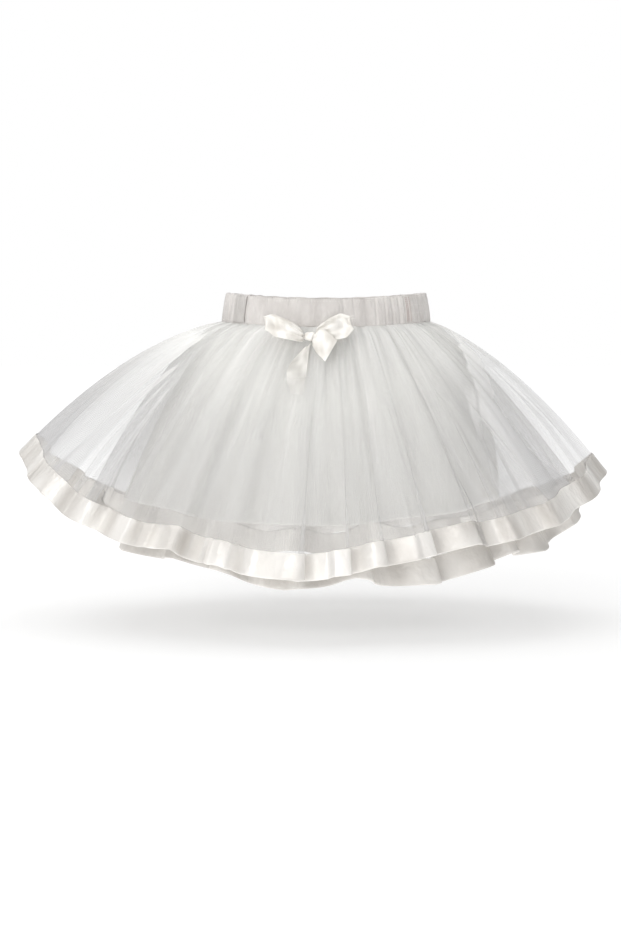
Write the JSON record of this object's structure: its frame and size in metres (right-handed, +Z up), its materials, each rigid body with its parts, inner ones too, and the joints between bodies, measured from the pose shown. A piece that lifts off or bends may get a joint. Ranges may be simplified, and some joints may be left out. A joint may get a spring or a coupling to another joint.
{
  "type": "child's ribbon-edged tulle tutu",
  "caption": "Child's white tutu in its worn shape: elasticated waistband with a satin bow, plain lining and two gathered tulle skirts edged with satin ribbon, open at waist and hem.",
  "frame": {"origin": "the middle of the waist opening, at the middle of the elastic waistband's height at the sides", "axes": "+Z up and out of the waist opening, the front with the bow faces -Y, +X to the wearer's left"},
  "size_m": [0.5893, 0.3483, 0.2763],
  "materials": {
    "waistband": "matt woven cotton over elastic, finely gathered",
    "tulle": "fine soft net, see-through",
    "satin": "ivory satin ribbon with a soft shine",
    "lining": "matt plain weave with a turned hem"
  },
  "bodies": {
    "root": {"waistband_front": "waistband", "waistband_back": "waistband", "outer_tulle_skirt": "tulle", "outer_hem_ribbon": "satin", "under_tulle_skirt": "tulle", "under_hem_ribbon": "satin", "lining": "lining", "bow_knot": "satin", "bow_loop_left": "satin", "bow_loop_right": "satin", "bow_tail": "satin", "bow_flap": "satin"}
  },
  "joints": []
}
